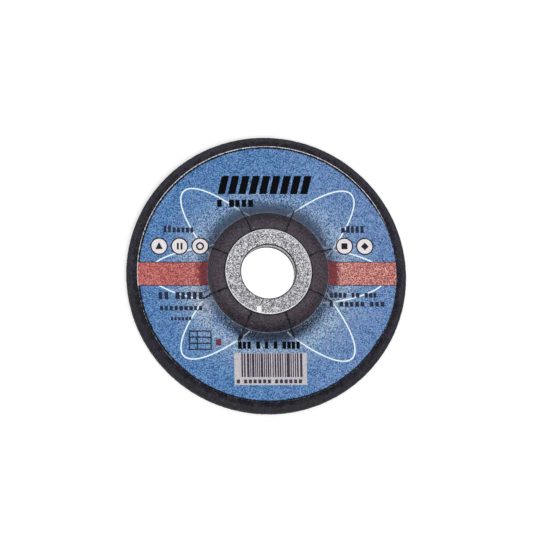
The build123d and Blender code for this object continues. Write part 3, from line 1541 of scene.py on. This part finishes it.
@dataclass
class CodePanel:
    """A pale panel with dark bars of chance widths and short ticks under them, which hold no code."""

    label: PaperLabel
    panel_finish: InkFinish = InkFinish("panel_ink", colour(200, 194, 196), dark_grain=0.35, pale_grain=0.2)
    bar_finish: InkFinish = InkFinish("bar_ink", colour(58, 44, 70), dark_grain=0.35, pale_grain=0.15)
    lift: float = 0.03
    bar_lift: float = 0.045
    bar_spacing: float = 1.2
    panel_box: Span = (-14.3, -46.2, 15.4, -33.0)
    bars_box: Span = (-11.4, -42.9, 13.7, -33.1)
    least_width: float = 0.5
    bar_chances: Points = ((0.45, 0.3), (0.65, 0.3), (0.95, 0.25), (1.3, 0.15))
    gap_chances: Points = ((0.32, 0.5), (0.42, 0.3), (0.6, 0.2))
    tick_left: float = -13.4
    tick_low: float = -45.5
    tick_high: float = -43.9
    tick_width: float = 1.3
    tick_pitch: float = 1.95
    tick_groups: tuple[int, ...] = (1, 6, 6)
    group_gap: float = 1.0
    seed: int = 70

    @staticmethod
    def _drawn(draw: np.random.Generator, chances: Points) -> float:
        """Draws one of several sizes, each given with its chance."""
        sizes, shares = zip(*chances)
        return float(draw.choice(sizes, p=shares))

    def build(self) -> None:
        """Builds the panel, its bars and its ticks."""
        panel = InkLayer(self.label, self.lift)
        panel.block(*self.panel_box)
        bars = InkLayer(self.label, self.bar_lift, self.bar_spacing)
        draw = np.random.default_rng(self.seed)
        at, low, end, high = self.bars_box
        while at < end - self.least_width:
            width = self._drawn(draw, self.bar_chances)
            bars.block(at, low, min(at + width, end), high)
            at += width + self._drawn(draw, self.gap_chances)
        at = self.tick_left
        for group in self.tick_groups:
            for _ in range(group):
                bars.block(at, self.tick_low, at + self.tick_width, self.tick_high)
                at += self.tick_pitch
            at += self.group_gap
        panel.build("code_panel", self.panel_finish)
        bars.build("code_bars", self.bar_finish)


@dataclass(frozen=True)
class WhitePatch:
    """A whitish rectangle on the steel."""

    x: float
    y: float
    half_x: float
    half_y: float
    strength: float
    soft: float = 0.1

    def mask(self, skin: Skin) -> Field:
        """Gives its mask.

        Args:
            skin: Sheet of the steel.

        Returns:
            How much it covers at each place.
        """
        off_x, off_y = abs(skin.x - self.x), abs(skin.y - self.y)
        across = off_x.fade(self.half_x + self.soft, self.half_x - self.soft)
        return across * off_y.fade(self.half_y + self.soft, self.half_y - self.soft, 0.0, self.strength)


@dataclass(frozen=True)
class SteelFinish:
    """Pressed sheet steel with a mottled zinc skin, painted highlight on its outer edge, painted shade in the
    bore.
    """

    dark: Colour = colour(66, 64, 72)
    mid: Colour = colour(170, 169, 177)
    pale: Colour = colour(246, 245, 248)
    bore_shade: Colour = colour(34, 33, 38)
    patch_white: Colour = colour(252, 252, 252)
    flange_radius: float = 17.7
    flange_height: float = 11.4
    mottle: float = 0.4
    wall: Points = ((0, 0), (0.06, 0.2), (0.16, 1), (0.6, 1), (1.1, 0.15), (3.4, 0.15), (4, 1), (6.4, 1))
    bore_edge: Span = (12.1, 11.9)
    patch: WhitePatch = WhitePatch(-4.15, -15.6, 0.95, 1.15, 0.95)
    faint_patch: WhitePatch = WhitePatch(2.6, -15.5, 1.5, 0.5, 0.4)

    def material(self, effects: SharedEffects) -> bpy.types.Material:
        """Builds the material.

        Args:
            effects: The shared node groups.

        Returns:
            The steel's material.
        """
        skin = Skin("ring_steel", effects)
        spangle = {"Vector": skin.here(), "Scale": 1 / (self.mottle * MM), "Detail": 1.0}
        tone = skin.add("TexNoise", spangle)[0]
        base = tone.fade(0.5, 0.34).pick(self.mid, self.dark)
        base = tone.fade(0.5, 0.66).pick(base, self.pale)
        base = skin.north.fade(0.2, -0.8, 0.0, 0.14).pick(base, self.dark)
        # Painted highlight on the flange's outer edge.
        edge_highlight = skin.radius.fade(self.flange_radius - 0.45, self.flange_radius - 0.2, 0.0, 0.85)
        # Painted shade in bands down the bore, at the bend and at the collar's end, where the steel is also
        # made less metallic.
        painted_shade = (self.flange_height - skin.height).ramp(self.wall) * skin.radius.fade(*self.bore_edge)
        base = painted_shade.pick(edge_highlight.pick(base, self.pale), self.bore_shade)
        patched = self.patch.mask(skin).most(self.faint_patch.mask(skin))
        return skin.dress(
            Base_Color=patched.pick(base, self.patch_white),
            Normal=skin.relief(skin.grain(0.4, 9.3)["Relief"], 0.5, 0.08),
            Roughness=tone.fade(0.3, 0.7, 0.58, 0.4),
            Metallic=painted_shade.fade(0.0, 1.0, 0.75, 0.0),
            Specular_IOR_Level=0.1,
        )


@dataclass
class BoreRing:
    """The pressed steel ring: a flat flange on the hub that bends down into the collar of the bore."""

    effects: SharedEffects
    finish: SteelFinish = SteelFinish()
    bore_radius: float = 11.115
    sheet: float = 0.6
    flange_radius: float = 17.7
    seat_height: float = 10.8
    collar_end: float = 5.0
    bend_round: float = 0.2
    edge_round: float = 0.3
    columns: int = 420
    relief_depth: float = 0.035
    relief_grain: float = 0.55
    seed: int = 33

    def build(self) -> None:
        """Builds the ring."""
        top = self.seat_height + self.sheet
        collar = self.bore_radius + self.sheet
        corners = [
            Corner(self.bore_radius, self.collar_end, 0.0, 0.8),
            Corner(self.bore_radius, top, self.bend_round + self.sheet, 0.2),
            Corner(self.flange_radius, top, self.edge_round, 0.15),
            Corner(self.flange_radius, self.seat_height, 0.0, 3.0),
            Corner(collar, self.seat_height, self.bend_round, 2.0),
            Corner(collar, self.collar_end, 0.0, 1.0),
        ]
        places, _, quads = TurnedProfile(corners, closed=True).turned(self.columns)
        on_top = smooth_step(top - 0.12, top - 0.02, places[..., 2])
        places[..., 2] -= on_top * self.relief_depth * LatticeNoise(self.seed).at(places, self.relief_grain)
        piece = make_piece("steel_ring", places, quads, self.finish.material(self.effects))
        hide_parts("bore_ring")


@dataclass
class Studio:
    """The pale floor, the soft light and the camera."""

    floor_half: float = 6.0
    floor_tint: Colour = (0.9, 0.9, 0.9, 1.0)
    floor_pale: Colour = (0.91, 0.91, 0.91, 1.0)
    floor_glow: float = 0.34
    bore_glow: float = 0.45
    bore_fade: Span = (12.0, 20.0)
    world_level: float = 0.78
    key_strength: float = 0.8
    key_azimuth: float = -75.0
    key_elevation: float = 62.0
    key_spread: float = 35.0
    view_tilt: float = 12.8
    view_side: float = 28.0
    view_distance: float = 2500.0
    frame_height: float = 225.1
    sensor: float = 36.0
    aim: Span = (0.261, 0.241, 2.5)

    def build(self) -> None:
        """Builds the floor, the world, the lamp and the camera."""
        self._floor()
        self._world()
        self._lamp()
        self._camera()

    def _floor(self) -> None:
        """Lays the floor under the disc, brighter where it shows through the bore."""
        half = self.floor_half
        mesh = bpy.data.meshes.new("floor")
        corners = [(-half, -half, 0), (half, -half, 0), (half, half, 0), (-half, half, 0)]
        mesh.from_pydata(corners, [], [(0, 1, 2, 3)])
        sheet = MaterialSheet("floor_paint")
        noise = sheet.add("TexNoise", {"Scale": 3.0, "Detail": 2.0})[0]
        path = sheet.add("LightPath")
        from_axis = sheet.add("VectorMath", {0: sheet.here()}, operation="LENGTH")[1]
        start, end = (reach * MM for reach in self.bore_fade)
        glow = from_axis.fade(start, end, self.floor_glow + self.bore_glow, self.floor_glow)
        material = sheet.dress(
            Base_Color=noise.fade(0.3, 0.7).pick(self.floor_tint, self.floor_pale),
            Roughness=0.9,
            Specular_IOR_Level=0.0,
            Emission_Color=WHITE,
            Emission_Strength=path["Is Camera Ray"].most(path["Is Glossy Ray"]) * glow,
        )
        mesh.materials.append(material)
        floor = bpy.data.objects.new("floor", mesh)
        bpy.context.scene.collection.objects.link(floor)

    def _world(self) -> None:
        """Lights the scene evenly, and shows white to the camera."""
        world = bpy.data.worlds.new("studio")
        world.use_nodes = True
        bpy.context.scene.world = world
        sheet = NodeSheet(world.node_tree)
        back = world.node_tree.nodes["Background"].inputs
        seen = sheet.add("LightPath")["Is Camera Ray"]
        sheet.feed(back["Color"], WHITE)
        sheet.feed(back["Strength"], seen * (1.0 - self.world_level) + self.world_level)

    def _lamp(self) -> None:
        """Hangs the soft key light."""
        data = bpy.data.lights.new("key", "SUN")
        data.energy = self.key_strength
        data.angle = math.radians(self.key_spread)
        lamp = bpy.data.objects.new("key", data)
        side, up = math.radians(self.key_azimuth), math.radians(self.key_elevation)
        towards = Vector((math.cos(side) * math.cos(up), math.sin(side) * math.cos(up), math.sin(up)))
        lamp.rotation_euler = towards.to_track_quat("Z", "Y").to_euler()
        bpy.context.scene.collection.objects.link(lamp)

    def _camera(self) -> None:
        """Places the camera so that the print stays level."""
        tilt, side = math.radians(self.view_tilt), math.radians(self.view_side)
        back = Vector((-math.sin(tilt) * math.sin(side), -math.sin(tilt) * math.cos(side), math.cos(tilt)))
        right = (Vector((1, 0, 0)) - back * back.x).normalized()
        data = bpy.data.cameras.new("camera")
        data.sensor_width = self.sensor
        data.lens = self.sensor * self.view_distance / self.frame_height
        data.clip_end = 100.0
        camera = bpy.data.objects.new("camera", data)
        turn = Matrix((right, back.cross(right), back)).transposed().to_4x4()
        place = Vector(self.aim) * MM + back * self.view_distance * MM
        camera.matrix_world = Matrix.Translation(place) @ turn
        bpy.context.scene.collection.objects.link(camera)
        bpy.context.scene.camera = camera


def main() -> None:
    """Builds the disc and the studio."""
    logging.basicConfig(level=logging.INFO, format="%(name)s %(message)s")
    bpy.context.scene.view_settings.view_transform = "Standard"
    slits, hub = SlitPlan(), HubShape()
    effects = SharedEffects(slits)
    GritBody(effects, hub).build()
    label = PaperLabel(effects, hub, slits)
    label.build()
    for printed in (OrbitLines, RedBand, RoundMarks, PrintBlocks, CodePanel):
        printed(label).build()
    BoreRing(effects).build()
    Studio().build()


if __name__ == "__main__":
    main()
